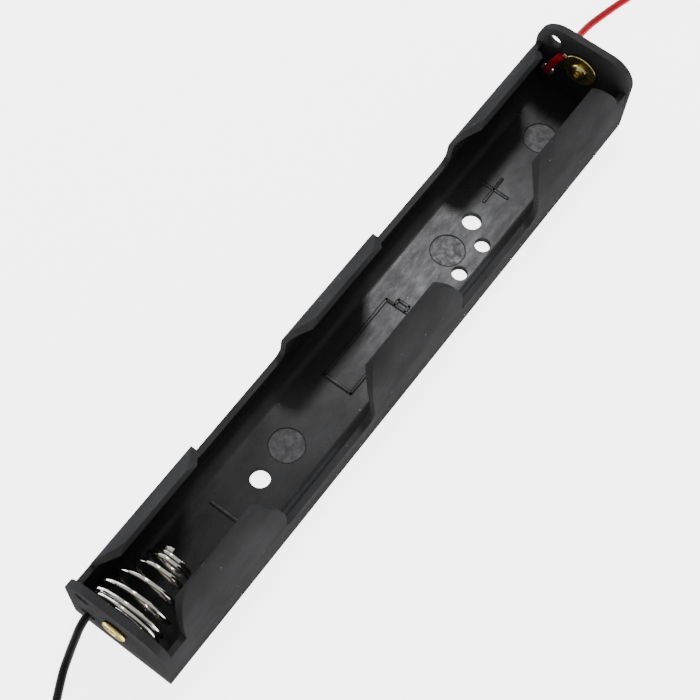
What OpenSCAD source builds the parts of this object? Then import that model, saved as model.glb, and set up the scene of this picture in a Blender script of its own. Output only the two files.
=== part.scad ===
// In-line holder for two cylindrical cells: a moulded tray with three pairs of spring clips,
// a conical spring at the negative end, a riveted button at the positive end and two leads.
// Millimetres. X runs along the tray towards the positive end, +Z is up,
// and the origin is the centre of the tray's underside.

/* [Tray] */
// Length over the end walls
tray_l = 110; // [104:0.5:120]
// Width over the side walls
tray_w = 16.6; // [16.2:0.1:18]
// Height of the end walls
tray_h = 15; // [14.6:0.1:17]
// Thickness of the floor
floor_t = 1.2; // [1:0.1:1.6]
// Thickness of the side walls
wall_t = 1; // [0.8:0.05:1.2]
// Thickness of the end walls
end_t = 1.2; // [1:0.1:2]
// Radius of the end walls' top corners
end_corner_r = 4.4; // [2:0.1:5]
// Rounding along the bottom edges
bottom_edge_r = 0.5; // [0.2:0.1:1]
// Radius between the floor and the side walls, inside
floor_corner_r = 2.4; // [1:0.1:3]

/* [Clips] */
// Height of the cells' axis above the underside
axis_h = 8.4; // [8.2:0.1:9]
// Thickness of the clips where they wrap round the cell
clip_t = 0.85; // [0.6:0.05:1]
// Angle up each side to which a clip wraps round the cell
clip_wrap = 53; // [40:1:60]
// Height of the side walls between the clips
low_wall_h = 5.8; // [4:0.1:7]
// Height of the side walls beside the end walls
shoulder_h = 9.9; // [8:0.1:11]
// Distance between the middles of neighbouring clips
clip_pitch = 40.5; // [38:0.1:42]
// Length of the middle clips
clip_l = 21; // [18:0.25:23]
// Rounding of a clip's end that faces the negative side
clip_slope_r = 5; // [4:0.1:6]
// Rounding of a clip's end that faces the positive side
clip_nose_r = 5.4; // [4:0.1:6]
// Rounding of the foot below the end that faces the negative side
slope_foot_r = 1.6; // [0.6:0.1:2]
// Rounding of the foot below the end that faces the positive side
nose_foot_r = 0.9; // [0.4:0.1:1.2]

/* [Floor] */
// Diameter of the two screw holes on the centre line
screw_hole_d = 3; // [2.5:0.1:3.6]
// Place of the screw hole nearer the positive end
screw_hole_x1 = 26.2; // [22:0.1:30]
// Place of the screw hole nearer the negative end
screw_hole_x2 = -25.5; // [-30:0.1:-22]
// Diameter of the two side holes
side_hole_d = 2.4; // [2:0.1:3]
// Distance of the side holes from the centre line
side_hole_y = 3.6; // [3:0.1:4]
// Diameter of the ejector marks
ejector_d = 5.2; // [4:0.1:6]
// Depth of the ejector marks
ejector_depth = 0.15; // [0.1:0.05:0.3]

/* [Contacts] */
// Height of both contacts above the underside
contact_h = 9.4; // [8.4:0.1:9.6]
// Diameter of the positive button's flange
button_d = 5.9; // [5:0.1:6.4]
// Diameter of the rivets' shanks
shank_d = 2.4; // [2:0.1:2.8]
// Thickness of the rivets' flanges
flange_t = 0.35; // [0.25:0.05:0.5]
// Diameter of the rolled tails outside
tail_d = 3.8; // [3:0.1:4.4]
// Diameter of the spring's wire
spring_wire_d = 0.6; // [0.4:0.05:0.8]
// Radius of the spring's widest turns, to the middle of the wire
spring_base_r = 5.2; // [4.5:0.1:5.4]
// Radius of the spring's narrow end, to the middle of the wire
spring_tip_r = 2.75; // [2:0.05:3.2]
// Free length of the spring from the end wall
spring_l = 11; // [9:0.1:12]

/* [Leads] */
// Outer diameter of the leads' insulation
lead_d = 1.2; // [1:0.1:1.4]
// Diameter of the lead holes in the end walls
lead_hole_d = 2.4; // [1.8:0.1:2.6]
// Distance of the lead holes from the centre line
lead_hole_y = 5.3; // [5:0.1:5.6]
// Height of the lower lead holes
lead_hole_low = 4.7; // [4:0.1:5]
// Height of the upper lead holes
lead_hole_high = 11.9; // [11:0.1:12.2]
// Radius of the leads' coils, to the middle of the turns
coil_r = 6.6; // [6:0.1:7.2]

/* [Hidden] */
$fn = 72;

inner_x = tray_l/2 - end_t;
outer_r = tray_w/2;
inner_r = tray_w/2 - wall_t;
clip_r = inner_r + clip_t;
clip_top = axis_h + clip_r*sin(clip_wrap);
eps = 0.02;

// Middle and length of each clip, from the negative end to the positive one
clip_middles = [0.25 - clip_pitch, 0.25, 0.25 + clip_pitch];
clip_lengths = [clip_l - 0.5, clip_l, clip_l + 0.25];

// Ejector marks and side holes along the floor
ejector_xs = [-19.4, 19.8, 44.8];
side_hole_xs = [17.8, 23.8];

strand_t = 0.25;
strand_w = 0.7;
strand_r = 1.75;
rivet_head_d = 4.6;
hub_d = 2.7;
hub_l = 0.75;
bore_d = 1.2;
tail_l = 0.7;

coil_lift = 0.3;
tip_clear = 0.3;
tie_w = 2;
tip_d = 0.6;
tip_l = 5;

// ---------- helpers ----------

// Puts a shape drawn in the plane of the tray's cross-section (y, z) along X.
module along_x(x0, len)
    translate([x0, 0, 0])
        rotate([90, 0, 90])
            linear_extrude(len)
                children();

// Puts a shape drawn in the side view (x, z) across the tray.
module across_y(width)
    translate([0, width/2, 0])
        rotate([90, 0, 0])
            linear_extrude(width)
                children();

// Square with rounded top corners and smaller rounded bottom corners.
module end_outline() {
    difference() {
        translate([-tray_w/2, 0])
            square([tray_w, tray_h]);
        for (side = [-1, 1]) {
            corner_cut(side*tray_w/2, tray_h, -side, -1, end_corner_r);
            corner_cut(side*tray_w/2, 0, -side, 1, bottom_edge_r);
        }
    }
}

// What is cut from a square corner at (x, y) to round it; dx and dy point into the shape.
module corner_cut(x, y, dx, dy, r) {
    difference() {
        translate([x + dx*r/2, y + dy*r/2])
            square(r + eps, center = true);
        translate([x + dx*r, y + dy*r])
            circle(r);
        translate([x + dx*(r + 1), y + dy*r/2])
            square([2, r + 1], center = true);
        translate([x + dx*r/2, y + dy*(r + 1)])
            square([r + 1, 2], center = true);
    }
}

// ---------- tray ----------

// Outer cross-section: upright walls that draw in to clips concentric with the cells.
module outer_section() {
    difference() {
        union() {
            polygon([
                [-outer_r, 0], [outer_r, 0], [outer_r, low_wall_h],
                [clip_r, axis_h], [-clip_r, axis_h], [-outer_r, low_wall_h]
            ]);
            translate([0, axis_h])
                circle(clip_r);
        }
        for (side = [-1, 1])
            corner_cut(side*outer_r, 0, -side, 1, bottom_edge_r);
        translate([-outer_r, -2*outer_r])
            square([tray_w, 2*outer_r]);
    }
}

// Room for the cell, with rounded corners along the floor.
module inner_section() {
    difference() {
        union() {
            translate([-inner_r, floor_t])
                square([2*inner_r, axis_h - floor_t]);
            translate([0, axis_h])
                circle(inner_r);
        }
        translate([-inner_r, -2*inner_r + floor_t])
            square([2*inner_r, 2*inner_r]);
        for (side = [-1, 1])
            corner_cut(side*inner_r, floor_t, -side, 1, floor_corner_r);
    }
}

// The mouth between opposite clips, cut square to the clips' curve.
module mouth_section() {
    reach = 2*outer_r;
    polygon([
        [0, axis_h],
        [reach*cos(clip_wrap), axis_h + reach*sin(clip_wrap)],
        [-reach*cos(clip_wrap), axis_h + reach*sin(clip_wrap)]
    ]);
}

module channel_section() {
    difference() {
        outer_section();
        inner_section();
        mouth_section();
    }
}

// Side view of a clip: rounded top corners and upright ends with rounded feet.
module clip_profile(len) {
    difference() {
        union() {
            translate([-len/2, 0])
                square([len, clip_top + 1]);
            translate([-len/2 - slope_foot_r, 0])
                square([len/2, low_wall_h + slope_foot_r]);
            translate([nose_foot_r, 0])
                square([len/2, low_wall_h + nose_foot_r]);
        }
        translate([-len/2 - slope_foot_r, low_wall_h + slope_foot_r])
            circle(slope_foot_r);
        translate([len/2 + nose_foot_r, low_wall_h + nose_foot_r])
            circle(nose_foot_r);
        corner_cut(-len/2, clip_top + eps, 1, -1, clip_slope_r);
        corner_cut(len/2, clip_top + eps, -1, -1, clip_nose_r);
        translate([-len, clip_top + eps])
            square([2*len, 2]);
    }
}

// Side view of the walls between the end walls.
module wall_profile() {
    translate([-inner_x - eps, 0])
        square([2*inner_x + 2*eps, low_wall_h]);
    for (i = [0 : len(clip_middles) - 1])
        translate([clip_middles[i], 0])
            clip_profile(clip_lengths[i]);
    for (side = [-1, 1])
        translate([side > 0 ? clip_pitch : -inner_x - eps, 0])
            square([inner_x - clip_pitch + eps, shoulder_h]);
}

module lead_holes(x0) {
    for (z = [lead_hole_low, lead_hole_high])
        translate([x0 - 1, lead_hole_y, z])
            rotate([0, 90, 0])
                cylinder(h = end_t + 2, d = lead_hole_d, $fn = 48);
}

module tray() {
    color([0.07, 0.07, 0.08])
    difference() {
        union() {
            intersection() {
                along_x(-inner_x - eps, 2*inner_x + 2*eps)
                    channel_section();
                across_y(tray_w + 2)
                    wall_profile();
            }
            for (x0 = [-tray_l/2, inner_x])
                along_x(x0, end_t)
                    end_outline();
        }
        for (x = [screw_hole_x1, screw_hole_x2])
            translate([x, 0, -1])
                cylinder(h = floor_t + 2, d = screw_hole_d);
        for (x = side_hole_xs)
            translate([x, -side_hole_y, -1])
                cylinder(h = floor_t + 2, d = side_hole_d);
        for (x = ejector_xs)
            translate([x, 0, floor_t - ejector_depth])
                cylinder(h = 1, d = ejector_d);
        for (x0 = [-tray_l/2, inner_x]) {
            lead_holes(x0);
            translate([x0 - 1, 0, contact_h])
                rotate([0, 90, 0])
                    cylinder(h = end_t + 2, d = shank_d, $fn = 48);
        }
    }
}

// ---------- contacts ----------

// Turns a profile drawn as (radius, height) about the contacts' axis, pointing into the tray.
// side is 1 at the positive end and -1 at the negative end.
module on_end_wall(side)
    translate([side*inner_x, 0, contact_h])
        rotate([0, -90*side, 0])
            rotate_extrude($fn = 48)
                children();

// Tubular rivet: head inside the tray on packing of the given thickness,
// shank through the wall and a rolled tail outside.
module rivet_profile(head_d, packing, hub_h) {
    roll_r = (tail_d - shank_d)/4;
    difference() {
        union() {
            translate([0, -end_t - eps])
                square([shank_d/2, end_t + packing + flange_t]);
            translate([0, packing])
                square([head_d/2 - flange_t/2, flange_t]);
            translate([head_d/2 - flange_t/2, packing + flange_t/2])
                circle(flange_t/2, $fn = 16);
            translate([0, packing])
                square([hub_d/2 - 0.25, flange_t + hub_h]);
            translate([0, packing])
                square([hub_d/2, flange_t + hub_h - 0.25]);
            translate([hub_d/2 - 0.25, packing + flange_t + hub_h - 0.25])
                circle(0.25, $fn = 16);
            translate([0, -end_t - roll_r])
                square([shank_d/2 + roll_r, roll_r]);
            translate([shank_d/2 + roll_r, -end_t - roll_r])
                circle(roll_r, $fn = 16);
            translate([0, -end_t - tail_l])
                square([shank_d/2 + roll_r, tail_l]);
        }
        translate([0, -end_t - 2])
            square([bore_d/2, end_t + 6]);
        translate([shank_d/2 + roll_r + 1, -end_t + 1])
            square(2, center = true);
        translate([shank_d/2 - 0.1, -end_t - tail_l - 1])
            square([3, 1 + tail_l - 2*roll_r]);
        translate([bore_d/2, -end_t - tail_l])
            circle(0.35, $fn = 16);
    }
}

module positive_button() {
    color([0.80, 0.62, 0.22])
        on_end_wall(1)
            rivet_profile(button_d, strand_t, hub_l);
}

module negative_rivet() {
    color([0.80, 0.62, 0.22])
        on_end_wall(-1)
            rivet_profile(rivet_head_d, strand_t + 2*base_play + spring_wire_d, 0.3);
}

// Spring: a flat turn under the rivet's head, then a cone with closed turns at both ends.
spring_turns = 7;
spiral_turns = 1.25;
closed_pitch = spring_wire_d + 0.02;
spiral_r = 1.75;
ring_steps = 18;

// Play between the spring's base turn and what clamps it.
base_play = 0.05;

function ease(t) = let (u = max(0, min(1, t))) u*u*(3 - 2*u);

// Distance of the wire's middle from the end wall after n turns of the cone.
function spring_x(n) =
    let (first = strand_t + base_play + spring_wire_d/2,
         open = spring_l - first - spring_wire_d/2 - spring_turns*closed_pitch)
    first + closed_pitch*max(0, n) + open*ease((n - 0.6)/4.8);

function spring_r(n) =
    n < 0 ? spring_base_r + (spring_base_r - spiral_r)*n/spiral_turns
          : spring_base_r - (spring_base_r - spring_tip_r)*ease((n - 1)/5);

function spring_point(n) =
    let (a = 90 + 360*n, r = spring_r(n))
    [-inner_x + spring_x(n), r*cos(a), contact_h + r*sin(a)];

module negative_spring() {
    steps = ring_steps*(spring_turns + spiral_turns);
    path = [for (i = [0 : steps]) spring_point(i/ring_steps - spiral_turns)];
    color([0.82, 0.83, 0.84])
        swept_tube(path, spring_wire_d, 8);
}

// ---------- leads ----------

function unit(v) = v/norm(v);

// Direction of a path at its point i.
function heading(path, i) =
    unit(path[min(i + 1, len(path) - 1)] - path[max(i - 1, 0)]);

// Side direction of a path at its point i, square to its heading, carried from ring to ring.
function carry(path, i, side) = let (t = heading(path, i)) unit(side - (side*t)*t);
function first_side(path) =
    let (t = heading(path, 0), guess = abs(t[2]) < 0.9 ? [0, 0, 1] : [1, 0, 0])
    unit(cross(t, guess));
function sides(path) = [for (i = 0, s = first_side(path); i < len(path);
    i = i + 1, s = i < len(path) ? carry(path, i, s) : s) s];

// Closed round tube along a path, with flat ends.
module swept_tube(path, d, faces_round) {
    count = len(path);
    side = sides(path);
    points = [for (i = [0 : count - 1], k = [0 : faces_round - 1])
        let (t = heading(path, i), v = cross(t, side[i]), a = 360*k/faces_round)
        path[i] + d/2*(cos(a)*side[i] + sin(a)*v)];
    wall = [for (i = [0 : count - 2], k = [0 : faces_round - 1])
        let (k2 = (k + 1) % faces_round, a = i*faces_round, b = a + faces_round)
        [a + k, b + k, b + k2, a + k2]];
    caps = [[for (k = [0 : faces_round - 1]) k],
        [for (k = [faces_round - 1 : -1 : 0]) (count - 1)*faces_round + k]];
    polyhedron(points = points, faces = concat(wall, caps), convexity = 10);
}

// The red lead from its stripped end, along the end wall and out through its hole
red_end_route = [
    [53.1, 3.5, 10.3], [53.1, 4.0, 9.1], [53.1, 4.5, 7.8], [53.1, 4.9, 6.5],
    [53.3, 5.2, 5.4], [53.8, 5.3, 4.8], [54.4, 5.3, 4.7], [55.0, 5.3, 4.7]
];

// Routes of the leads from the end walls to where their coils begin
red_route = [
    [55.0, 5.3, 4.7], [56.3, 5.3, 4.6], [57.6, 5.3, 4.4], [58.9, 5.3, 4.0],
    [60.2, 5.4, 3.4], [61.5, 5.5, 2.7], [62.8, 5.6, 2.1], [64.1, 5.7, 1.5],
    [65.4, 5.8, 1.1], [68.0, 5.7, 0.7], [70.6, 5.2, 0.6], [73.2, 4.6, 0.6],
    [75.8, 3.9, 0.6], [78.3, 3.1, 0.7], [80.8, 2.1, 0.8], [83.2, 0.9, 0.9]
];
black_route = [
    [-53.8, 5.3, 4.7], [-54.6, 5.3, 4.7], [-55.6, 5.3, 4.6], [-57.0, 5.2, 4.0],
    [-58.2, 5.0, 3.1], [-59.4, 4.8, 2.2], [-60.7, 4.5, 1.3], [-62.0, 4.1, 0.8],
    [-63.3, 3.5, 0.6], [-64.6, 2.8, 0.6], [-65.9, 2.1, 0.6], [-67.9, 1.2, 0.6],
    [-69.8, 0.4, 0.7], [-71.8, -0.3, 0.8], [-73.7, -0.9, 0.9]
];

// Middle of each coil, the angle at which its lead joins it, and its turns.
red_coil_at = [86.3, 6.7];
black_coil_at = [-71.9, -7.2];
red_join = -118;
black_join = 106;
red_turns = 2.75;
black_turns = 3;

function coil_h(turns) = lead_d*(turns + 1);

// Ring that a coil of lead fills, less the part of its last turn that the bare tip takes.
module coil(at, join, turns) {
    difference() {
        translate([at[0], at[1], coil_lift])
            rotate_extrude()
                translate([coil_r - lead_d/2, 0])
                    square([lead_d, coil_h(turns)]);
        translate([at[0], at[1], coil_lift + lead_d*turns + tip_clear])
            rotate([0, 0, join + 360*turns])
                rotate_extrude(angle = 90)
                    translate([coil_r - lead_d, 0])
                        square([2*lead_d, 2*lead_d]);
    }
}

// Band round the coil's turns.
module coil_tie(at, angle, turns) {
    t = coil_lift;
    translate([at[0], at[1], 0])
        difference() {
            rotate([0, 0, angle])
                translate([coil_r - lead_d/2 - t, -tie_w/2, 0])
                    cube([lead_d + 2*t, tie_w, coil_h(turns) + 2*t]);
            translate([0, 0, coil_lift])
                rotate_extrude()
                    translate([coil_r - lead_d/2, 0])
                        square([lead_d, coil_h(turns)]);
        }
}

// Tinned end of a lead, lying on the coil.
module coil_tip(at, join, turns) {
    translate([at[0], at[1], coil_lift + lead_d*turns + lead_d/2])
        rotate([0, 0, join + 360*turns])
            rotate_extrude(angle = 360*tip_l/(2*PI*coil_r))
                translate([coil_r, 0])
                    circle(d = tip_d, $fn = 24);
}

// Stripped strands, pressed flat round a rivet's shank and led to the lead's end,
// which lies at the given distances across and above the rivet's axis.
module strands(side, across, above) {
    reach = norm([across, above]);
    translate([side > 0 ? inner_x - strand_t : -inner_x, 0, contact_h])
        rotate([90, 0, 90])
            linear_extrude(strand_t)
                difference() {
                    union() {
                        circle(strand_r + strand_w/2, $fn = 48);
                        rotate(atan2(above, across)) {
                            translate([0, -strand_w/2])
                                square([reach, strand_w]);
                            translate([reach, 0])
                                circle(d = strand_w, $fn = 24);
                        }
                    }
                    circle(d = shank_d, $fn = 48);
                }
}

module red_strands()
    color([0.75, 0.74, 0.72])
        strands(1, red_end_route[0][1] - 0.2, red_end_route[0][2] - contact_h + 0.2);

module black_strands()
    color([0.75, 0.74, 0.72])
        strands(-1, black_route[0][1], black_route[0][2] - contact_h);

module red_lead_end() { color([0.75, 0.10, 0.12]) swept_tube(red_end_route, lead_d, 8); }
module red_lead() { color([0.75, 0.10, 0.12]) swept_tube(red_route, lead_d, 8); }
module black_lead() { color([0.05, 0.05, 0.06]) swept_tube(black_route, lead_d, 8); }
module red_coil() { color([0.75, 0.10, 0.12]) coil(red_coil_at, red_join, red_turns); }
module black_coil() { color([0.05, 0.05, 0.06]) coil(black_coil_at, black_join, black_turns); }
module red_coil_tie() { color([0.85, 0.85, 0.83]) coil_tie(red_coil_at, 40, red_turns); }
module black_coil_tie() { color([0.85, 0.85, 0.83]) coil_tie(black_coil_at, -150, black_turns); }
module red_tip() { color([0.75, 0.74, 0.72]) coil_tip(red_coil_at, red_join, red_turns); }
module black_tip() { color([0.75, 0.74, 0.72]) coil_tip(black_coil_at, black_join, black_turns); }

tray();
positive_button();
negative_rivet();
negative_spring();
red_strands();
black_strands();
red_lead_end();
red_lead();
black_lead();
red_coil();
black_coil();
red_coil_tie();
black_coil_tie();
red_tip();
black_tip();
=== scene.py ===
"""Dresses the cell holder's frame: the moulded tray, its marks, contacts, spring and leads."""

import math

import bmesh
import bpy
from mathutils import Matrix, Vector


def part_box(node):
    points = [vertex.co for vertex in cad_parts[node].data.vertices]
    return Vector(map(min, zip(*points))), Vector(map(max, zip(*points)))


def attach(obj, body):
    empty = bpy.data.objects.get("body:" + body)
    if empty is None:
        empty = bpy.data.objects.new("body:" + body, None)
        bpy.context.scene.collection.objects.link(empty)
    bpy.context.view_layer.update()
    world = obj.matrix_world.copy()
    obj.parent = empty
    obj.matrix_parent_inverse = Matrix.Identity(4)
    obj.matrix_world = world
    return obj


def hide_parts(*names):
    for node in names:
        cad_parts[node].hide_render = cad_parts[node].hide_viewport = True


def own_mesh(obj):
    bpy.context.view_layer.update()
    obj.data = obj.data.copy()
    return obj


bl_info = {
    "name": "Cylindrical Cell Holder",
    "version": (1, 0, 0),
    "blender": (4, 5, 0),
    "location": "3D View > Sidebar > Cell Holder",
    "description": "Builds a tray for cylindrical cells with its spring, contacts and leads",
    "category": "Add Mesh",
}

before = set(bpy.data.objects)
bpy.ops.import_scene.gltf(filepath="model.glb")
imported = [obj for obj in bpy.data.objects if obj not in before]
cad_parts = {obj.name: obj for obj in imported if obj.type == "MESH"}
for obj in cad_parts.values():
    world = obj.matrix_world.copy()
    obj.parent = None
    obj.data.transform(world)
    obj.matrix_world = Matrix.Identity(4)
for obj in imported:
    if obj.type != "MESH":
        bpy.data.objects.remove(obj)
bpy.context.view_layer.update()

MM = 0.001
HOLDER = "holder"

# Heights and places in the frame that the pieces are set against, in metres.
FLOOR_TOP = 1.2 * MM
END_WALL = 1.2 * MM
INNER_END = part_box("tray")[1].x - END_WALL
BUTTON_LOW, BUTTON_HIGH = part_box("positive_button")
CONTACT_HEIGHT = (BUTTON_LOW.z + BUTTON_HIGH.z) / 2


# ---------- sizes and colours ----------


def length(name, description, default):
    """A size in metres, shown with its unit."""
    return bpy.props.FloatProperty(
        name=name, description=description, default=default, min=0.0, unit="LENGTH", precision=5
    )


def colour(name, description, default):
    """A colour that the panel shows as a swatch."""
    return bpy.props.FloatVectorProperty(
        name=name, description=description, default=default, size=3, min=0.0, max=1.0,
        subtype="COLOR",
    )


class HolderSizes(bpy.types.PropertyGroup):
    """Sizes of the pieces that are added to the frame."""

    edge_round: length("Edge rounding", "Rounding of the tray's moulded edges", 0.14 * MM)
    mark_width: length("Mark width", "Width of the raised marks on the tray's floor", 0.55 * MM)
    mark_height: length("Mark height", "Height of the raised marks on the tray's floor", 0.14 * MM)
    ejector_width: length("Ejector mark", "Diameter of the ejector marks", 5.2 * MM)
    spring_wire: length("Spring wire", "Diameter of the spring's wire", 0.6 * MM)
    spring_base: length("Spring base", "Radius of the spring's widest turns", 5.2 * MM)
    spring_tip: length("Spring tip", "Radius of the spring's narrow end", 2.75 * MM)
    lead_width: length("Lead", "Outer diameter of a lead's insulation", 1.2 * MM)
    coil_radius: length("Coil radius", "Radius of a put-away lead's turns", 6.6 * MM)


class HolderColours(bpy.types.PropertyGroup):
    """Colours of the holder's materials."""

    plastic: colour("Plastic", "The black moulded tray", (0.034, 0.034, 0.035))
    brass: colour("Brass", "Button and rivet", (0.82, 0.68, 0.25))
    steel: colour("Spring", "Plated spring wire", (0.70, 0.68, 0.63))
    tin: colour("Strands", "Tinned copper strands", (0.72, 0.70, 0.66))
    red: colour("Positive lead", "Insulation of the positive lead", (0.38, 0.007, 0.016))
    black: colour("Negative lead", "Insulation of the negative lead", (0.008, 0.008, 0.009))
    tie: colour("Ties", "Bands round the put-away leads", (0.74, 0.74, 0.71))
    paper: colour("Floor", "The surface under the holder", (0.92, 0.92, 0.92))


def sizes():
    """The sizes that the panel shows."""
    return bpy.context.scene.holder_sizes


def colours():
    """The colours that the panel shows."""
    return bpy.context.scene.holder_colours


# ---------- materials ----------

# The plastics' shine is partly metallic with a dark edge tint, so that upright walls stay dark
# beside the bright table.
PLASTIC_SHINE = {
    "metallic": 0.3,
    "Specular IOR Level": 0.0,
    "Specular Tint": (0.02, 0.02, 0.02, 1.0),
}
BRASS_EDGE_TINT = (0.05, 0.045, 0.012, 1.0)
DUST = (0.34, 0.33, 0.31)
TABLE_GLOW = 4.2

# The plastic's roughness grows from just above the floor to near the tops of the low walls.
ROUGH_FROM_HEIGHT = FLOOR_TOP + 0.5 * MM
ROUGH_TO_HEIGHT = 5.0 * MM


class Finish:
    """A material with its shader, and short calls to add what its surface shows."""

    def __init__(self, name, base, roughness, metallic=0.0, **shader):
        self.material = bpy.data.materials.new(name)
        self.material.use_nodes = True
        self.tree = self.material.node_tree
        self.shader = self.tree.nodes["Principled BSDF"]
        self.set("Base Color", (*base, 1.0))
        self.set("Roughness", roughness)
        self.set("Metallic", metallic)
        for socket, value in shader.items():
            self.set(socket, value)
        self.place = self.add("ShaderNodeTexCoord").outputs["Object"]

    def add(self, kind, **settings):
        """A new node with the given settings."""
        node = self.tree.nodes.new(kind)
        for key, value in settings.items():
            setattr(node, key, value)
        return node

    def link(self, source, target):
        """Joins an output to an input."""
        self.tree.links.new(source, target)

    def set(self, socket, value):
        """Sets a uniform value on the shader itself."""
        self.shader.inputs[socket].default_value = value

    def noise(self, grain, detail=3.0, stretch=(1.0, 1.0, 1.0), rough=0.55):
        """Noise whose grains are about the given size, in metres."""
        turn = self.add("ShaderNodeMapping")
        turn.inputs["Scale"].default_value = stretch
        node = self.add("ShaderNodeTexNoise")
        node.inputs["Scale"].default_value = 1.0 / grain
        node.inputs["Detail"].default_value = detail
        node.inputs["Roughness"].default_value = rough
        self.link(self.place, turn.inputs["Vector"])
        self.link(turn.outputs["Vector"], node.inputs["Vector"])
        return node.outputs["Fac"]

    def ramp(self, source, stops):
        """Turns a value into colours; stops are (place, colour or grey)."""
        node = self.add("ShaderNodeValToRGB")
        elements = node.color_ramp.elements
        while len(elements) < len(stops):
            elements.new(0.5)
        for element, (at, value) in zip(elements, stops):
            element.position = at
            tone = value if hasattr(value, "__len__") else (value,) * 3
            element.color = (*tone, 1.0)
        self.link(source, node.inputs["Fac"])
        return node.outputs["Color"]

    def rough_from(self, source, low, high, rise=0.0):
        """Roughness that follows a value, from low to high, and also grows by rise with height."""
        node = self.add("ShaderNodeMapRange")
        node.inputs["From Min"].default_value = 0.3
        node.inputs["From Max"].default_value = 0.7
        node.inputs["To Min"].default_value = low
        node.inputs["To Max"].default_value = high
        self.link(source, node.inputs["Value"])
        result = node.outputs["Result"]
        if rise:
            parts = self.add("ShaderNodeSeparateXYZ")
            self.link(self.place, parts.inputs["Vector"])
            more = self.add("ShaderNodeMapRange")
            more.inputs["From Min"].default_value = ROUGH_FROM_HEIGHT
            more.inputs["From Max"].default_value = ROUGH_TO_HEIGHT
            more.inputs["To Max"].default_value = rise
            self.link(parts.outputs["Z"], more.inputs["Value"])
            total = self.add("ShaderNodeMath", operation="ADD")
            self.link(result, total.inputs[0])
            self.link(more.outputs["Result"], total.inputs[1])
            result = total.outputs["Value"]
        self.link(result, self.shader.inputs["Roughness"])

    def colour_from(self, source):
        """Colour that follows a value."""
        self.link(source, self.shader.inputs["Base Color"])

    def bump(self, source, depth, after=None):
        """Raises the surface by up to depth, in metres."""
        node = self.add("ShaderNodeBump")
        node.inputs["Strength"].default_value = 1.0
        node.inputs["Distance"].default_value = depth
        self.link(source, node.inputs["Height"])
        if after is not None:
            self.link(after, node.inputs["Normal"])
        self.link(node.outputs["Normal"], self.shader.inputs["Normal"])
        return node.outputs["Normal"]

    def mix(self, factor, under, over):
        """Lays one colour over another, as much as the factor says."""
        node = self.add("ShaderNodeMix", data_type="RGBA")
        self.link(factor, node.inputs["Factor"])
        for socket, value in (("A", under), ("B", over)):
            target = [s for s in node.inputs if s.name == socket and s.type == "RGBA"][0]
            if hasattr(value, "is_linked"):
                self.link(value, target)
            else:
                target.default_value = (*value, 1.0)
        return [s for s in node.outputs if s.type == "RGBA"][0]


def shade(tone, by):
    """A tone made darker or lighter by a factor."""
    return tuple(min(1.0, part * by) for part in tone)


def moulded_plastic():
    """Black styrene with a soft shine, a moulded grain, rubbed patches and a little dust.

    The floor is smoother than the tops of the walls.
    """
    base = colours().plastic
    finish = Finish("moulded_plastic", base, 0.25, **PLASTIC_SHINE)
    patches = finish.noise(4.0 * MM, detail=5.0, stretch=(0.5, 1.0, 1.0))
    tone = finish.ramp(patches, [(0.32, shade(base, 0.84)), (0.68, shade(base, 1.18))])
    specks = finish.noise(0.30 * MM, detail=0.0)
    dust = finish.ramp(specks, [(0.87, 0.0), (0.89, 0.5)])
    finish.colour_from(finish.mix(dust, tone, DUST))
    wipe = finish.noise(0.9 * MM, detail=5.0, stretch=(0.4, 1.0, 1.0), rough=0.65)
    finish.rough_from(wipe, 0.24, 0.34, rise=0.24)
    grain = finish.noise(0.22 * MM, detail=3.0)
    waves = finish.noise(1.6 * MM, detail=2.0, stretch=(0.5, 1.0, 1.0))
    finish.bump(waves, 0.005 * MM, after=finish.bump(grain, 0.0015 * MM))
    return finish.material


def struck_plastic():
    """The ejector marks' faces: the same plastic, paler and uneven."""
    base = colours().plastic
    finish = Finish("struck_plastic", base, 0.35, **PLASTIC_SHINE)
    blotches = finish.noise(1.0 * MM, detail=5.0, rough=0.7)
    tone = finish.ramp(blotches, [(0.34, shade(base, 1.25)), (0.68, shade(base, 2.2))])
    finish.colour_from(tone)
    finish.rough_from(blotches, 0.44, 0.28)
    finish.bump(finish.noise(0.45 * MM, detail=4.0), 0.012 * MM)
    return finish.material


def brass():
    """Stamped brass with a slight tarnish, darker where it is seen edge on."""
    base = colours().brass
    finish = Finish("stamped_brass", base, 0.3, metallic=1.0)
    finish.set("Specular Tint", BRASS_EDGE_TINT)
    tarnish = finish.noise(0.8 * MM, detail=5.0, rough=0.65)
    finish.colour_from(finish.ramp(tarnish, [(0.34, shade(base, 0.45)), (0.58, base)]))
    finish.rough_from(tarnish, 0.36, 0.20)
    finish.bump(finish.noise(0.35 * MM, detail=2.0), 0.005 * MM)
    return finish.material


def spring_steel():
    """Bright plated wire with slightly uneven plating."""
    base = colours().steel
    finish = Finish("plated_spring_wire", base, 0.2, metallic=1.0)
    plating = finish.noise(0.5 * MM, detail=4.0)
    finish.colour_from(finish.ramp(plating, [(0.3, shade(base, 0.85)), (0.65, base)]))
    finish.rough_from(plating, 0.10, 0.13)
    finish.bump(finish.noise(0.4 * MM, detail=1.0), 0.0008 * MM)
    return finish.material


def tinned_copper():
    """Fine tinned strands, dull silver."""
    base = colours().tin
    finish = Finish("tinned_strands", base, 0.35, metallic=1.0)
    film = finish.noise(0.3 * MM, detail=3.0)
    finish.colour_from(finish.ramp(film, [(0.3, shade(base, 0.65)), (0.7, base)]))
    finish.rough_from(film, 0.28, 0.45)
    return finish.material


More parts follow.
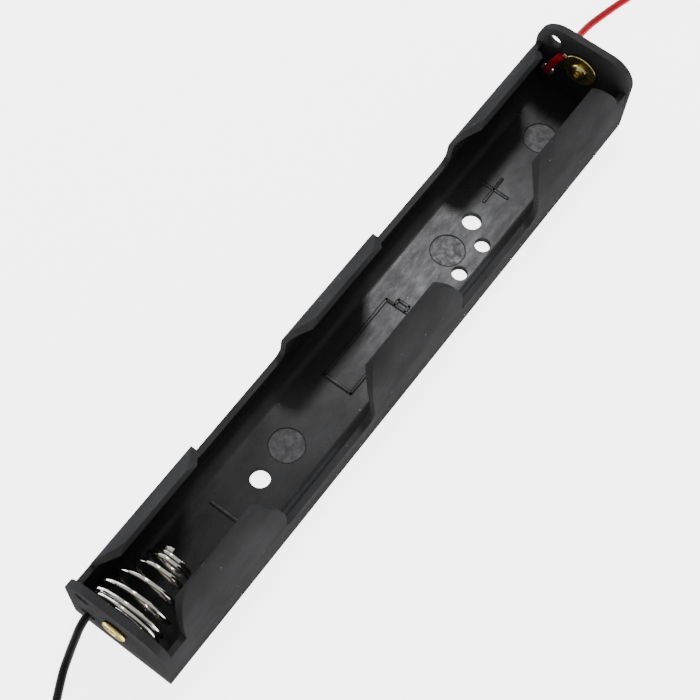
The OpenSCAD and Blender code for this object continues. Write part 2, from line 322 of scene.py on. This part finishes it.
def insulation(name, base):
    """Soft vinyl with a low gloss and faint ripples along the wire."""
    finish = Finish(name, base, 0.45, **{"Specular IOR Level": 0.12})
    film = finish.noise(1.6 * MM, detail=4.0)
    finish.colour_from(finish.ramp(film, [(0.3, shade(base, 0.82)), (0.7, shade(base, 1.12))]))
    finish.rough_from(film, 0.42, 0.56)
    finish.bump(finish.noise(0.5 * MM, detail=3.0), 0.012 * MM)
    return finish.material


def tie_plastic():
    """Pale nylon band with a slight grain."""
    base = colours().tie
    finish = Finish("tie_nylon", base, 0.5, **{"Subsurface Weight": 0.05})
    film = finish.noise(0.8 * MM, detail=3.0)
    finish.colour_from(finish.ramp(film, [(0.3, shade(base, 0.9)), (0.7, base)]))
    finish.rough_from(film, 0.42, 0.58)
    finish.bump(film, 0.01 * MM)
    return finish.material


def pale_paper():
    """A white table that glows evenly."""
    finish = Finish("pale_table", colours().paper, 0.9)
    finish.set("Emission Color", (1.0, 1.0, 1.0, 1.0))
    finish.set("Emission Strength", TABLE_GLOW)
    return finish.material


MATERIALS = {}


def material(maker, *details):
    """Makes each material once."""
    key = (maker.__name__, *details[:1])
    if key not in MATERIALS:
        MATERIALS[key] = maker(*details)
    return MATERIALS[key]


# ---------- shaping ----------

DOUBLES = 1e-7


def new_object(name, data):
    """Puts a new object with the given mesh, curve, light or camera into the scene."""
    made = bpy.data.objects.new(name, data)
    bpy.context.scene.collection.objects.link(made)
    return made


def mesh_object(name, vertices, faces):
    """A new object whose mesh has the given points and faces."""
    mesh = bpy.data.meshes.new(name)
    mesh.from_pydata([tuple(v) for v in vertices], [], faces)
    mesh.validate()
    return new_object(name, mesh)


def edited_object(name, bm):
    """A new object with the mesh that was edited, which is then freed."""
    mesh = bpy.data.meshes.new(name)
    bm.to_mesh(mesh)
    bm.free()
    return new_object(name, mesh)


def ring_faces(here, there, count):
    """Faces between two closed rings of points, which start at the given numbers."""
    after = [(i + 1) % count for i in range(count)]
    return [(here + i, here + j, there + j, there + i) for i, j in enumerate(after)]


def smooth(piece, angle=40.0):
    """Smooth shading that keeps edges sharper than the angle crisp."""
    piece.data.shade_smooth()
    piece.data.set_sharp_from_angle(angle=math.radians(angle))


def settle(piece):
    """Turns a piece with its modifiers into a plain mesh."""
    evaluated = piece.evaluated_get(bpy.context.evaluated_depsgraph_get())
    mesh = bpy.data.meshes.new_from_object(evaluated)
    name = piece.name
    mesh.name = name
    bpy.data.objects.remove(piece)
    return new_object(name, mesh)


def face_outwards(piece):
    """Merges doubles and turns every face outwards."""
    bm = bmesh.new()
    bm.from_mesh(piece.data)
    bmesh.ops.remove_doubles(bm, verts=bm.verts, dist=DOUBLES)
    bmesh.ops.recalc_face_normals(bm, faces=bm.faces)
    bm.to_mesh(piece.data)
    bm.free()


def add_piece(piece, finish, slot, *nodes):
    """Gives a finished piece its material and its body, and hides the frame's nodes that it stands
    for.
    """
    piece.data.materials.clear()
    piece.data.materials.append(finish)
    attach(piece, HOLDER)
    if nodes:
        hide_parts(*nodes)
    return piece


def round_edges(piece, width, segments=2, angle=30.0):
    """Rounds a piece's sharp edges."""
    bevel = piece.modifiers.new("edges", "BEVEL")
    bevel.width = width
    bevel.segments = segments
    bevel.limit_method = "ANGLE"
    bevel.angle_limit = math.radians(angle)
    bevel.use_clamp_overlap = True
    return settle(piece)


def arc(middle, radius, start, end, steps):
    """Points along an arc in a plane, with angles in degrees."""
    turns = [math.radians(start + (end - start) * i / steps) for i in range(steps + 1)]
    return [(middle[0] + radius * math.cos(a), middle[1] + radius * math.sin(a)) for a in turns]


def turned(name, profile, to_place, steps=72):
    """Revolves a closed (radius, height) profile; to_place(radius, height, angle) gives points."""
    count = len(profile)
    vertices = [
        to_place(r, h, 2 * math.pi * k / steps) for k in range(steps) for r, h in profile
    ]
    faces = []
    for k in range(steps):
        faces += ring_faces(k * count, ((k + 1) % steps) * count, count)
    piece = mesh_object(name, vertices, faces)
    face_outwards(piece)
    return piece


def tube_tree():
    """Geometry nodes that sweep a round tube along every spline of a curve."""
    tree = bpy.data.node_groups.new("round_tube", "GeometryNodeTree")
    face = tree.interface
    face.new_socket("Geometry", in_out="INPUT", socket_type="NodeSocketGeometry")
    radius = face.new_socket("Radius", in_out="INPUT", socket_type="NodeSocketFloat")
    sides = face.new_socket("Sides", in_out="INPUT", socket_type="NodeSocketInt")
    finish = face.new_socket("Finish", in_out="INPUT", socket_type="NodeSocketMaterial")
    face.new_socket("Geometry", in_out="OUTPUT", socket_type="NodeSocketGeometry")
    node = tree.nodes.new
    given, result = node("NodeGroupInput"), node("NodeGroupOutput")
    ring, sweep = node("GeometryNodeCurvePrimitiveCircle"), node("GeometryNodeCurveToMesh")
    soften, paint = node("GeometryNodeSetShadeSmooth"), node("GeometryNodeSetMaterial")
    realise = node("GeometryNodeRealizeInstances")
    sweep.inputs["Fill Caps"].default_value = True
    for source, target in (
        (given.outputs["Radius"], ring.inputs["Radius"]),
        (given.outputs["Sides"], ring.inputs["Resolution"]),
        (given.outputs["Geometry"], sweep.inputs["Curve"]),
        (ring.outputs["Curve"], sweep.inputs["Profile Curve"]),
        (sweep.outputs["Mesh"], soften.inputs["Geometry"]),
        (soften.outputs["Geometry"], realise.inputs["Geometry"]),
        (realise.outputs["Geometry"], paint.inputs["Geometry"]),
        (given.outputs["Finish"], paint.inputs["Material"]),
        (paint.outputs["Geometry"], result.inputs["Geometry"]),
    ):
        tree.links.new(source, target)
    return tree, radius.identifier, sides.identifier, finish.identifier


TUBES = {}


def tube(name, paths, radius, finish, sides=16):
    """A mesh tube along one or more paths, made by the geometry nodes."""
    if not TUBES:
        TUBES["tree"] = tube_tree()
    tree, radius_id, sides_id, finish_id = TUBES["tree"]
    curve = bpy.data.curves.new(name, "CURVE")
    curve.dimensions = "3D"
    for path in paths:
        spline = curve.splines.new("POLY")
        spline.points.add(len(path) - 1)
        for point, place in zip(spline.points, path):
            point.co = (*place, 1.0)
    line = new_object(name, curve)
    modifier = line.modifiers.new("tube", "NODES")
    modifier.node_group = tree
    modifier[radius_id] = radius
    modifier[sides_id] = sides
    modifier[finish_id] = finish
    made = settle(line)
    bpy.data.curves.remove(curve)
    face_outwards(made)
    smooth(made, angle=50.0)
    return made


def smooth_route(points, steps=6):
    """A smooth curve, in metres, through given points in millimetres."""
    points = [Vector(p) * MM for p in points]
    padded = [2 * points[0] - points[1], *points, 2 * points[-1] - points[-2]]
    route = []
    for a, b, c, d in zip(padded, padded[1:], padded[2:], padded[3:]):
        for i in range(steps):
            t = i / steps
            route.append(
                0.5 * (2 * b + (c - a) * t + (2 * a - 5 * b + 4 * c - d) * t * t
                       + (3 * b - a - 3 * c + d) * t ** 3)
            )
    return [*route, points[-1]]


def route_length(route):
    """Length of a route, in metres."""
    return sum((b - a).length for a, b in zip(route, route[1:]))


def twisted(path, count, lay, twist):
    """Strands that lie round a path: count of them at the distance lay, turning once per twist."""
    gone = 0.0
    strands = [[] for _ in range(count)]
    side = Vector((0, 0, 1))
    for i, place in enumerate(path):
        after, before = path[min(i + 1, len(path) - 1)], path[max(i - 1, 0)]
        along = (after - before).normalized()
        side = (side - side.dot(along) * along).normalized()
        across = along.cross(side)
        if i:
            gone += (place - path[i - 1]).length
        for k in range(count):
            a = 2 * math.pi * (k / count + gone / twist)
            strands[k].append(place + lay * (math.cos(a) * side + math.sin(a) * across))
    return strands


# ---------- leads ----------

# Route of the red lead, in millimetres, from its stripped end along the end wall.
RED_END_ROUTE = (
    (53.1, 3.5, 10.3), (53.1, 4.0, 9.1), (53.1, 4.5, 7.8), (53.1, 4.9, 6.5),
    (53.3, 5.2, 5.4), (53.8, 5.3, 4.8), (54.4, 5.3, 4.7), (55.0, 5.3, 4.7),
)

# Routes of the leads, in millimetres, from the end walls to their coils.
RED_ROUTE = (
    (55.0, 5.3, 4.7), (56.3, 5.3, 4.6), (57.6, 5.3, 4.4), (58.9, 5.3, 4.0),
    (60.2, 5.4, 3.4), (61.5, 5.5, 2.7), (62.8, 5.6, 2.1), (64.1, 5.7, 1.5),
    (65.4, 5.8, 1.1), (68.0, 5.7, 0.7), (70.6, 5.2, 0.6), (73.2, 4.6, 0.6),
    (75.8, 3.9, 0.6), (78.3, 3.1, 0.7), (80.8, 2.1, 0.8), (83.2, 0.9, 0.9),
)
BLACK_ROUTE = (
    (-53.8, 5.3, 4.7), (-54.6, 5.3, 4.7), (-55.6, 5.3, 4.6), (-57.0, 5.2, 4.0),
    (-58.2, 5.0, 3.1), (-59.4, 4.8, 2.2), (-60.7, 4.5, 1.3), (-62.0, 4.1, 0.8),
    (-63.3, 3.5, 0.6), (-64.6, 2.8, 0.6), (-65.9, 2.1, 0.6), (-67.9, 1.2, 0.6),
    (-69.8, 0.4, 0.7), (-71.8, -0.3, 0.8), (-73.7, -0.9, 0.9),
)

# Each lead's coil: its middle in millimetres, its turns, and the angles of its start and its tie.
RED_COIL = {"middle": (86.3, 6.7), "turns": 2.75, "start": -118.0, "tie": 40.0}
BLACK_COIL = {"middle": (-71.9, -7.2), "turns": 3.0, "start": 106.0, "tie": -150.0}
COIL_LIFT = 0.3 * MM
STEPS_PER_TURN = 40

# The tinned strands at a lead's far end.
TIP_LENGTH = 5.0 * MM
TIP_STEPS = 9
TIP_OVERLAP = 0.01
TIP_STRANDS = 6
TIP_STRAND_RADIUS = 0.1 * MM
TIP_LAY = 0.2 * MM
TIP_TWIST = 4 * MM

# The flat band of a tie.
TIE_WIDTH = 2.0 * MM
TIE_BAND = 0.28 * MM
TIE_PLAY = 0.3 * MM
TIE_CORNER = 0.25 * MM
TIE_EDGE = 0.06 * MM


def coil_point(coil, turn):
    """The point of a coil, in metres, at this many turns from its start."""
    x, y = coil["middle"]
    radius, lead = sizes().coil_radius, sizes().lead_width
    a = math.radians(coil["start"] + 360 * turn)
    height = COIL_LIFT + lead * (0.5 + turn)
    return Vector((x * MM + radius * math.cos(a), y * MM + radius * math.sin(a), height))


def coil_points(coil):
    """Points along a coil's stacked turns."""
    count = round(coil["turns"] * STEPS_PER_TURN)
    return [coil_point(coil, coil["turns"] * i / count) for i in range(count + 1)]


def tip_points(coil):
    """Points along the lead's bare end, which goes on level from the coil's last turn."""
    last = coil["turns"]
    turn = TIP_LENGTH / (2 * math.pi * sizes().coil_radius)
    path = [coil_point(coil, last - TIP_OVERLAP)]
    path += [coil_point(coil, last + turn * (i + 1) / TIP_STEPS) for i in range(TIP_STEPS)]
    for place in path:
        place.z = coil_point(coil, last).z
    return path


def make_lead(name, route, coil, base, slot):
    """One lead: insulated wire, its put-away coil, the tie round it and its tinned tip."""
    lead = sizes().lead_width
    finish = material(insulation, name + "_insulation", base)
    path = smooth_route(route)[:-1] + coil_points(coil)
    wire = add_piece(
        tube(name + "_wire", [path], lead / 2, finish), finish, slot,
        name + "_lead", name + "_coil",
    )
    bare = tip_points(coil)
    strands = [bare, *twisted(bare, TIP_STRANDS, TIP_LAY, TIP_TWIST)]
    copper = material(tinned_copper)
    tip = add_piece(
        tube(name + "_tinned_end", strands, TIP_STRAND_RADIUS, copper, sides=8), copper,
        "strands", name + "_tip",
    )
    tie = make_tie(name, coil)
    tuple(path[0])
    route_length(path)


def make_inner_end():
    """The red lead's stretch inside the tray, fixed between its strands and its hole."""
    finish = material(insulation, "red_insulation", tuple(colours().red))
    path = smooth_route(RED_END_ROUTE)
    piece = tube("red_wire_inside", [path], sizes().lead_width / 2, finish)
    add_piece(piece, finish, "red_insulation", "red_lead_end")


def make_tie(name, coil):
    """A flat band, closed round the coil's turns."""
    wide = sizes().lead_width / 2 + TIE_PLAY
    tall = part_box(name + "_coil_tie")[1].z / 2
    outer = []
    for sx, sz, start in ((1, 1, 0), (-1, 1, 90), (-1, -1, 180), (1, -1, 270)):
        middle = (sx * (wide - TIE_CORNER), tall + sz * (tall - TIE_CORNER))
        outer += arc(middle, TIE_CORNER, start, start + 90, 5)
    less_wide, less_tall = 1 - TIE_BAND / wide, 1 - TIE_BAND / tall
    inner = [(u * less_wide, tall + (v - tall) * less_tall) for u, v in outer]
    x, y = coil["middle"]
    turn = Matrix.Rotation(math.radians(coil["tie"]), 4, "Z")
    place = Matrix.Translation(Vector((x * MM, y * MM, 0))) @ turn
    half = TIE_WIDTH / 2
    rings = ((-half, outer), (half, outer), (half, inner), (-half, inner))
    vertices, faces = [], []
    for side, ring in rings:
        vertices += [place @ Vector((sizes().coil_radius + u, side, v)) for u, v in ring]
    count = len(outer)
    for k in range(len(rings)):
        faces += ring_faces(k * count, ((k + 1) % len(rings)) * count, count)
    piece = mesh_object(name + "_tie_band", vertices, faces)
    face_outwards(piece)
    piece = round_edges(piece, TIE_EDGE)
    smooth(piece)
    return add_piece(piece, material(tie_plastic), "ties", name + "_coil_tie")


# ---------- tray ----------

TRAY_DOUBLES = 2e-6
FLAT_ANGLE = math.radians(1.0)

# A raised stroke's section: shares of its width and its height, from the foot to the top.
STROKE_SECTION = ((1.0, 0.6), (0.86, 0.9), (0.6, 1.0))
STROKE_FOOT = 0.05 * MM

# Strokes of the polarity marks, in millimetres.
PLUS_STROKES = (((30.1, 0.5), (35.0, 0.5)), ((32.7, 2.9), (32.7, -2.0)))
MINUS_STROKES = (((-32.4, 3.1), (-32.4, -2.0)),)

# Half length and half width of the cell drawn on the floor, and its nub, in millimetres.
CELL_HALF_LENGTH = 7.6
CELL_HALF_WIDTH = 2.4
NUB_LENGTH = 1.0
NUB_HALF_WIDTH = 0.9

# Places of the ejector marks along the floor, in millimetres, and their faces and raised lips.
EJECTOR_PLACES = (-19.4, 19.8, 44.8)
EJECTOR_FACE_DEPTH = 0.08 * MM
EJECTOR_FACE_THICK = 0.12 * MM
EJECTOR_FACE_OVERLAP = 0.05 * MM
LIP_RADIUS = 0.07 * MM
LIP_HEIGHT = 0.06 * MM
LIP_FOOT = 0.05 * MM
LIP_ROOT = 0.16 * MM
LIP_INSET = 0.01 * MM


def make_tray():
    """The moulding: the frame's own tray with its edges rounded."""
    bm = bmesh.new()
    bm.from_mesh(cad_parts["tray"].data)
    bmesh.ops.remove_doubles(bm, verts=bm.verts, dist=TRAY_DOUBLES)
    bmesh.ops.dissolve_limit(bm, angle_limit=FLAT_ANGLE, verts=bm.verts, edges=bm.edges)
    piece = edited_object("tray_moulding", bm)
    piece = round_edges(piece, sizes().edge_round, segments=3)
    smooth(piece, angle=45.0)
    flats = piece.modifiers.new("flats", "WEIGHTED_NORMAL")
    flats.keep_sharp = True
    add_piece(settle(piece), material(moulded_plastic), "tray", "tray")


def capsule(start, end, width):
    """Outline of a stroke with round ends, anticlockwise, in a plane."""
    start, end = Vector(start), Vector(end)
    heading = math.degrees(math.atan2(end.y - start.y, end.x - start.x))
    return [
        *arc(end, width / 2, heading - 90, heading + 90, 10),
        *arc(start, width / 2, heading + 90, heading + 270, 10),
    ]


def raised_strokes(name, strokes):
    """Low ridges with round ends and soft tops on the tray's floor."""
    width, height = sizes().mark_width, sizes().mark_height
    rings = [(width, FLOOR_TOP - STROKE_FOOT)]
    rings += [(width * across, FLOOR_TOP + height * up) for across, up in STROKE_SECTION]
    vertices, faces = [], []
    for start, end in strokes:
        ends = [Vector(start) * MM, Vector(end) * MM]
        foot = len(vertices)
        for ring_width, z in rings:
            vertices += [(x, y, z) for x, y in capsule(*ends, ring_width)]
        count = (len(vertices) - foot) // len(rings)
        top = len(vertices) - count
        for here in range(foot, top, count):
            faces += ring_faces(here, here + count, count)
        faces.append([foot + i for i in reversed(range(count))])
        faces.append([top + i for i in range(count)])
    piece = mesh_object(name, vertices, faces)
    smooth(piece, angle=50.0)
    add_piece(piece, material(moulded_plastic), "tray")


def cell_strokes():
    """A plain outline of a cell with its nub towards the positive end."""
    a, b, n, w = CELL_HALF_LENGTH, CELL_HALF_WIDTH, NUB_LENGTH, NUB_HALF_WIDTH
    box = [(-a, -b), (a, -b), (a, b), (-a, b)]
    nub = [(a, -w), (a + n, -w), (a + n, w), (a, w)]
    return [*zip(box, [*box[1:], box[0]]), *zip(nub, nub[1:])]


def make_ejector_piece(name, profile, finish):
    """Turns the profile about the middle of each ejector mark and joins the three."""
    bm = bmesh.new()
    for x in EJECTOR_PLACES:
        def to_place(r, h, a, x=x):
            return (x * MM + r * math.cos(a), r * math.sin(a), h)
        made = turned("mark", profile, to_place)
        bm.from_mesh(made.data)
        bpy.data.objects.remove(made)
    piece = edited_object(name, bm)
    smooth(piece, angle=60.0)
    add_piece(piece, finish, "tray")


def make_ejector_rims():
    """A fine raised lip round each ejector mark."""
    radius = sizes().ejector_width / 2
    lip = [
        (radius + LIP_RADIUS * (1 + across), FLOOR_TOP + LIP_HEIGHT * up)
        for across, up in arc((0, 0), 1, 0, 180, 8)
    ]
    profile = [
        (radius + LIP_INSET, FLOOR_TOP - LIP_ROOT),
        (radius + 2 * LIP_RADIUS, FLOOR_TOP - LIP_FOOT),
        *lip,
    ]
    make_ejector_piece("ejector_rims", profile, material(moulded_plastic))


def make_ejector_faces():
    """The rougher round face at the bottom of each ejector mark."""
    radius = sizes().ejector_width / 2 + EJECTOR_FACE_OVERLAP
    face = FLOOR_TOP - EJECTOR_FACE_DEPTH
    under = face - EJECTOR_FACE_THICK
    profile = [(0.0, under), (radius, under), (radius, face), (0.0, face)]
    make_ejector_piece("ejector_faces", profile, material(struck_plastic))


# ---------- contacts ----------

# Both rivets: the hollow shank, the head and the hub round the bore.
SHANK_RADIUS = 1.19 * MM
BORE_RADIUS = 0.5 * MM
BORE_LIP = 0.10 * MM
TAIL_LENGTH = 0.7 * MM
TAIL_ROLL = 0.34 * MM
FLANGE_THICK = 0.35 * MM
DISH_EDGE = 0.35 * MM
DISH_SLOPE = 0.25 * MM
DISH_DEPTH = 0.05 * MM
HUB_RADIUS = 1.35 * MM

# Where the two rivets differ.
BUTTON_HEAD_RADIUS = 2.95 * MM
BUTTON_HUB_HEIGHT = 0.75 * MM
RIVET_HEAD_RADIUS = 2.3 * MM
RIVET_HUB_HEIGHT = 0.3 * MM

# The stripped strands under each rivet: flat side by side, round the shank and on to the lead.
STRAND_THICK = 0.25 * MM
STRAND_RADIUS = 0.12 * MM
STRAND_STEP = 0.12 * MM
STRAND_RING = 1.6 * MM
STRAND_ARC = math.radians(330)
RING_STEPS = 48
STRAIGHT_STEPS = 8

# Ends of the strands, in millimetres; the x is the ring's own.
RED_STRANDS_END = (0, 3.3, 10.5)
BLACK_STRANDS_END = (0, 5.3, 4.7)


def rivet_profile(head_radius, packing, hub_height):
    """Section of a hollow rivet as (radius, height) from the end wall's inner face."""
    top = packing + FLANGE_THICK
    tail = -END_WALL
    edge = FLANGE_THICK / 2
    lip, roll = BORE_LIP, TAIL_ROLL
    hub = [
        (BORE_RADIUS + lip + (HUB_RADIUS - BORE_RADIUS) * x, top + (hub_height - lip / 2) * y)
        for x, y in arc((0, 0), 1, 0, 80, 10)
    ]
    return [
        (SHANK_RADIUS, packing),
        *arc((head_radius - edge, packing + edge), edge, -90, 60, 8),
        (head_radius - DISH_EDGE, top - 0.6 * DISH_DEPTH),
        (head_radius - DISH_EDGE - DISH_SLOPE, top - DISH_DEPTH),
        (HUB_RADIUS + DISH_EDGE, top - DISH_DEPTH),
        *hub,
        *arc((BORE_RADIUS + lip, top + hub_height - lip), lip, 60, 180, 6),
        (BORE_RADIUS, top),
        (BORE_RADIUS, tail - TAIL_LENGTH + roll),
        *arc((BORE_RADIUS + roll, tail - TAIL_LENGTH + roll), roll, 180, 270, 6),
        *arc((SHANK_RADIUS + roll, tail - roll), roll, -75, 90, 10),
        (SHANK_RADIUS, tail),
    ]


def on_end_wall(side):
    """Places turned points about the contact's axis, pointing into the tray from one end."""
    def to_place(r, h, a):
        return (
            side * (INNER_END - h),
            r * math.cos(a) * side,
            CONTACT_HEIGHT + r * math.sin(a),
        )
    return to_place


def make_rivet(name, side, profile, node):
    """A turned brass rivet in the end wall on one side, +1 or -1 along the tray."""
    piece = turned(name, profile, on_end_wall(side), steps=96)
    smooth(piece, angle=50.0)
    add_piece(piece, material(brass), "rivets", node)


def make_strands(name, side, end, node):
    """Stripped strands laid round a rivet's shank and led to the lead's end."""
    middle = Vector((side * (INNER_END - STRAND_THICK / 2), 0, CONTACT_HEIGHT))
    end = Vector(end) * MM
    heading = math.atan2(end.z - middle.z, end.y - middle.y)
    path = []
    for i in range(RING_STEPS + 1):
        a = heading - STRAND_ARC * (1 - i / RING_STEPS)
        path.append(middle + STRAND_RING * Vector((0, math.cos(a), math.sin(a))))
    goal = Vector((middle.x, end.y, end.z))
    start = path[-1]
    path += [start.lerp(goal, (i + 1) / STRAIGHT_STEPS) for i in range(STRAIGHT_STEPS)]
    bundle = []
    for k in (-2, -1, 0, 1, 2):
        strand = []
        for i, place in enumerate(path):
            before, after = path[max(i - 1, 0)], path[min(i + 1, len(path) - 1)]
            along = (after - before).normalized()
            strand.append(place + k * STRAND_STEP * Vector((1, 0, 0)).cross(along))
        bundle.append(strand)
    finish = material(tinned_copper)
    add_piece(tube(name, bundle, STRAND_RADIUS, finish, sides=8), finish, "strands", node)


# ---------- spring ----------

SPRING_LENGTH = 11.0 * MM
RINGS_PER_TURN = 48
BASE_PLAY = 0.05 * MM
CLOSED_PLAY = 0.02 * MM

# Turns along the wire: the flat spiral under the rivet, then the cone, which opens out along the
# tray and narrows over some of its own turns.
SPIRAL_TURNS = 1.25
SPIRAL_START = 1.75 * MM
SPRING_TURNS = 7
OPEN_FROM, OPEN_TURNS = 0.6, 4.8
NARROW_FROM, NARROW_TURNS = 1, 5


def ease(t):
    """Goes smoothly from 0 to 1 as t does."""
    t = max(0.0, min(1.0, t))
    return t * t * (3 - 2 * t)


def spring_path():
    """Middle of the wire: a flat spiral at the end wall, then a cone with closed ends."""
    wire, base, tip = sizes().spring_wire, sizes().spring_base, sizes().spring_tip
    first = STRAND_THICK + BASE_PLAY + wire / 2
    closed = wire + CLOSED_PLAY
    open_length = SPRING_LENGTH - first - wire / 2 - SPRING_TURNS * closed
    points = []
    for i in range(round((SPRING_TURNS + SPIRAL_TURNS) * RINGS_PER_TURN) + 1):
        n = i / RINGS_PER_TURN - SPIRAL_TURNS
        opened = open_length * ease((n - OPEN_FROM) / OPEN_TURNS)
        out = first + closed * max(0.0, n) + opened
        if n < 0:
            r = base + (base - SPIRAL_START) * n / SPIRAL_TURNS
        else:
            r = base - (base - tip) * ease((n - NARROW_FROM) / NARROW_TURNS)
        a = math.radians(90 + 360 * n)
        points.append(
            Vector((-INNER_END + out, r * math.cos(a), CONTACT_HEIGHT + r * math.sin(a)))
        )
    return points


def make_spring():
    """The conical spring, as a tube along its wound path, with a mesh of its own."""
    finish = material(spring_steel)
    piece = tube("conical_spring", [spring_path()], sizes().spring_wire / 2, finish, sides=14)
    add_piece(piece, finish, "spring", "negative_spring")
    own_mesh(piece)


# ---------- stage ----------

CAMERA_PLACE = (-0.081136, -0.048515, 0.203659)
CAMERA_TURN = (24.7394, -1.9322, -53.3110)
CAMERA_LENS = 79.397
CAMERA_SENSOR = 36.0
CAMERA_NEAR = 0.01
CAMERA_FAR = 10.0

TABLE_HALF = 1.5
ROOM_LIGHT = 0.68
WHITE = (1.0, 1.0, 1.0)
SKY = (0.88, 0.93, 1.0)

# Soft boxes: name, place, point that it faces, width and depth, power and tone.
SOFT_BOXES = (
    ("window", (0.228, 0.106, 0.45), (0.015, 0, 0), (0.07, 0.07), 1.15, WHITE),
    ("wall", (0.26, 0.55, 0.24), (0.02, 0, 0.01), (0.7, 0.4), 2.8, SKY),
)


def make_camera():
    """The camera that looks at the holder from above, along the tray."""
    data = bpy.data.cameras.new("camera")
    data.lens = CAMERA_LENS
    data.sensor_width = CAMERA_SENSOR
    data.clip_start = CAMERA_NEAR
    data.clip_end = CAMERA_FAR
    camera = new_object("camera", data)
    camera.location = CAMERA_PLACE
    camera.rotation_euler = [math.radians(a) for a in CAMERA_TURN]
    bpy.context.scene.camera = camera


def soft_light(name, place, aim, area, power, tone):
    """A soft box that faces a point."""
    data = bpy.data.lights.new(name, "AREA")
    data.shape = "RECTANGLE"
    data.size, data.size_y = area
    data.energy = power
    data.color = tone
    lamp = new_object(name, data)
    lamp.location = place
    lamp.rotation_euler = (Vector(aim) - Vector(place)).to_track_quat("-Z", "Y").to_euler()


def make_stage():
    """White table, soft boxes and an even bright room."""
    half = TABLE_HALF
    corners = [(-half, -half, 0), (half, -half, 0), (half, half, 0), (-half, half, 0)]
    table = mesh_object("table", corners, [(0, 1, 2, 3)])
    table.data.materials.append(material(pale_paper))
    world = bpy.data.worlds.new("room")
    bpy.context.scene.world = world
    world.use_nodes = True
    background = world.node_tree.nodes["Background"]
    background.inputs["Color"].default_value = (*WHITE, 1.0)
    background.inputs["Strength"].default_value = ROOM_LIGHT
    for box in SOFT_BOXES:
        soft_light(*box)


# ---------- add-on ----------


class HOLDER_OT_camera(bpy.types.Operator):
    """Add the camera"""

    bl_idname = "holder.camera"
    bl_label = "Camera"

    def execute(self, context):
        make_camera()
        return {"FINISHED"}


class HOLDER_OT_leads(bpy.types.Operator):
    """Add the two leads, their coils, ties and tinned ends"""

    bl_idname = "holder.leads"
    bl_label = "Leads"

    def execute(self, context):
        make_inner_end()
        make_lead("red", RED_ROUTE, RED_COIL, tuple(colours().red), "red_insulation")
        make_lead("black", BLACK_ROUTE, BLACK_COIL, tuple(colours().black), "black_insulation")
        return {"FINISHED"}


class HOLDER_OT_tray(bpy.types.Operator):
    """Add the moulded tray"""

    bl_idname = "holder.tray"
    bl_label = "Tray"

    def execute(self, context):
        make_tray()
        return {"FINISHED"}


class HOLDER_OT_marks(bpy.types.Operator):
    """Add the polarity marks, the drawn cell and the ejector marks to the tray's floor"""

    bl_idname = "holder.marks"
    bl_label = "Floor marks"

    def execute(self, context):
        raised_strokes("plus_mark", PLUS_STROKES)
        raised_strokes("minus_mark", MINUS_STROKES)
        raised_strokes("cell_mark", cell_strokes())
        make_ejector_rims()
        make_ejector_faces()
        return {"FINISHED"}


class HOLDER_OT_contacts(bpy.types.Operator):
    """Add the positive button, the negative rivet and the strands under them"""

    bl_idname = "holder.contacts"
    bl_label = "Contacts"

    def execute(self, context):
        button = rivet_profile(BUTTON_HEAD_RADIUS, STRAND_THICK, BUTTON_HUB_HEIGHT)
        make_rivet("button_contact", 1, button, "positive_button")
        packing = STRAND_THICK + 2 * BASE_PLAY + sizes().spring_wire
        rivet = rivet_profile(RIVET_HEAD_RADIUS, packing, RIVET_HUB_HEIGHT)
        make_rivet("spring_rivet", -1, rivet, "negative_rivet")
        make_strands("red_bare_strands", 1, RED_STRANDS_END, "red_strands")
        make_strands("black_bare_strands", -1, BLACK_STRANDS_END, "black_strands")
        return {"FINISHED"}


class HOLDER_OT_spring(bpy.types.Operator):
    """Add the conical spring"""

    bl_idname = "holder.spring"
    bl_label = "Spring"

    def execute(self, context):
        make_spring()
        return {"FINISHED"}


class HOLDER_OT_stage(bpy.types.Operator):
    """Add the table and the lights"""

    bl_idname = "holder.stage"
    bl_label = "Stage"

    def execute(self, context):
        make_stage()
        return {"FINISHED"}


OPERATORS = (
    HOLDER_OT_camera, HOLDER_OT_leads, HOLDER_OT_tray, HOLDER_OT_marks, HOLDER_OT_contacts,
    HOLDER_OT_spring, HOLDER_OT_stage,
)


class HOLDER_PT_panel(bpy.types.Panel):
    """Sizes, colours and steps of the cell holder"""

    bl_idname = "HOLDER_PT_panel"
    bl_label = "Cell Holder"
    bl_space_type = "VIEW_3D"
    bl_region_type = "UI"
    bl_category = "Cell Holder"

    def draw(self, context):
        for group in (context.scene.holder_sizes, context.scene.holder_colours):
            for name in group.__annotations__:
                self.layout.prop(group, name)
        for operator in OPERATORS:
            self.layout.operator(operator.bl_idname)


CLASSES = (HolderSizes, HolderColours, *OPERATORS, HOLDER_PT_panel)


def register():
    """Adds the classes and the scene's sizes and colours."""
    for cls in CLASSES:
        bpy.utils.register_class(cls)
    bpy.types.Scene.holder_sizes = bpy.props.PointerProperty(type=HolderSizes)
    bpy.types.Scene.holder_colours = bpy.props.PointerProperty(type=HolderColours)


def unregister():
    """Takes out what register adds."""
    del bpy.types.Scene.holder_colours
    del bpy.types.Scene.holder_sizes
    for cls in reversed(CLASSES):
        bpy.utils.unregister_class(cls)


def main():
    """Builds the holder."""
    register()
    bpy.ops.holder.camera()
    bpy.ops.holder.leads()
    bpy.ops.holder.tray()
    bpy.ops.holder.marks()
    bpy.ops.holder.contacts()
    bpy.ops.holder.spring()
    bpy.ops.holder.stage()


if __name__ == "__main__":
    main()
